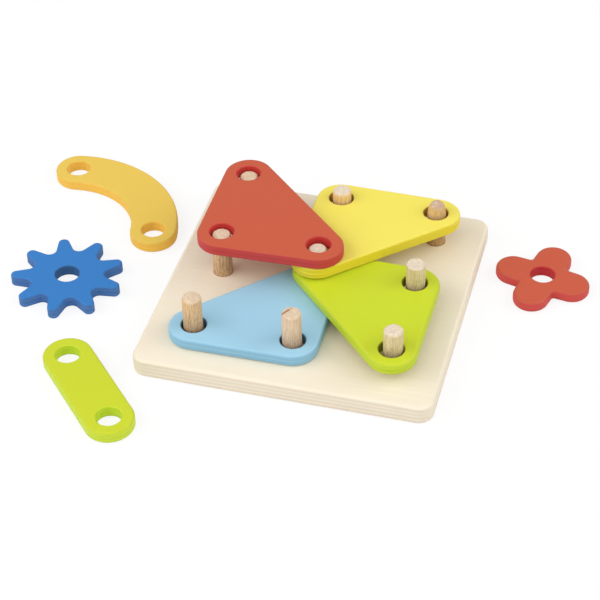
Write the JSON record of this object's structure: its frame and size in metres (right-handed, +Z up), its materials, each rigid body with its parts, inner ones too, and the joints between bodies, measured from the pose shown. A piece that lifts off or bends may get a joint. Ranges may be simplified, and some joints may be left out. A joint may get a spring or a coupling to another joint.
{
  "type": "wooden peg puzzle",
  "caption": "Square wooden peg board with stacked triangular plates climbing round its middle peg, and a loose gear, flower, arc and bar beside it.",
  "frame": {"origin": "on the board's underside, under the middle peg, on the surface that the board stands on", "axes": "+Z up along the pegs; +X along the board's front edge, towards the flower's side; +Y from the front edge to the back edge"},
  "size_m": [0.3592, 0.2487, 0.0451],
  "materials": {
    "birch_plywood": "sanded, bare or clear varnished",
    "beech_dowel": "bare, turned",
    "light_blue_paint": "satin paint on plywood",
    "lime_green_paint": "satin paint on plywood",
    "yellow_paint": "satin paint on plywood",
    "red_paint": "satin paint on plywood",
    "deep_blue_paint": "satin paint on plywood",
    "orange_paint": "satin paint on plywood",
    "fresh_green_paint": "satin paint on plywood",
    "coral_red_paint": "satin paint on plywood"
  },
  "bodies": {
    "base": {"base_board": "birch_plywood", "peg_back_left": "beech_dowel", "peg_back_centre": "beech_dowel", "peg_back_right": "beech_dowel", "peg_middle_left": "beech_dowel", "peg_middle_centre": "beech_dowel", "peg_middle_right": "beech_dowel", "peg_front_left": "beech_dowel", "peg_front_centre": "beech_dowel", "peg_front_right": "beech_dowel"},
    "blue_plate": {"blue_plate": "light_blue_paint"},
    "green_plate": {"green_plate": "lime_green_paint"},
    "yellow_plate": {"yellow_plate": "yellow_paint"},
    "red_plate": {"red_plate": "red_paint"},
    "blue_gear": {"blue_gear": "deep_blue_paint"},
    "red_flower": {"red_flower": "coral_red_paint"},
    "orange_arc": {"orange_arc": "orange_paint"},
    "green_bar": {"green_bar": "fresh_green_paint"}
  },
  "joints": [
    {"name": "blue_plate_lift", "type": "slide", "parent": "base", "child": "blue_plate", "axis": [0, 0, 1], "range_m": [0, 0.0347]},
    {"name": "green_plate_lift", "type": "slide", "parent": "blue_plate", "child": "green_plate", "axis": [0, 0, 1], "range_m": [0, 0.0278]},
    {"name": "yellow_plate_lift", "type": "slide", "parent": "green_plate", "child": "yellow_plate", "axis": [0, 0, 1], "range_m": [0, 0.02105]},
    {"name": "red_plate_lift", "type": "slide", "parent": "yellow_plate", "child": "red_plate", "axis": [0, 0, 1], "range_m": [0, 0.01095]},
    {"name": "gear_lift", "type": "slide", "parent": "base", "child": "blue_gear", "axis": [0, 0, 1], "range_m": [0, 0.05]},
    {"name": "flower_lift", "type": "slide", "parent": "base", "child": "red_flower", "axis": [0, 0, 1], "range_m": [0, 0.05]},
    {"name": "arc_lift", "type": "slide", "parent": "base", "child": "orange_arc", "axis": [0, 0, 1], "range_m": [0, 0.05]},
    {"name": "bar_lift", "type": "slide", "parent": "base", "child": "green_bar", "axis": [0, 0, 1], "range_m": [0, 0.05]}
  ]
}
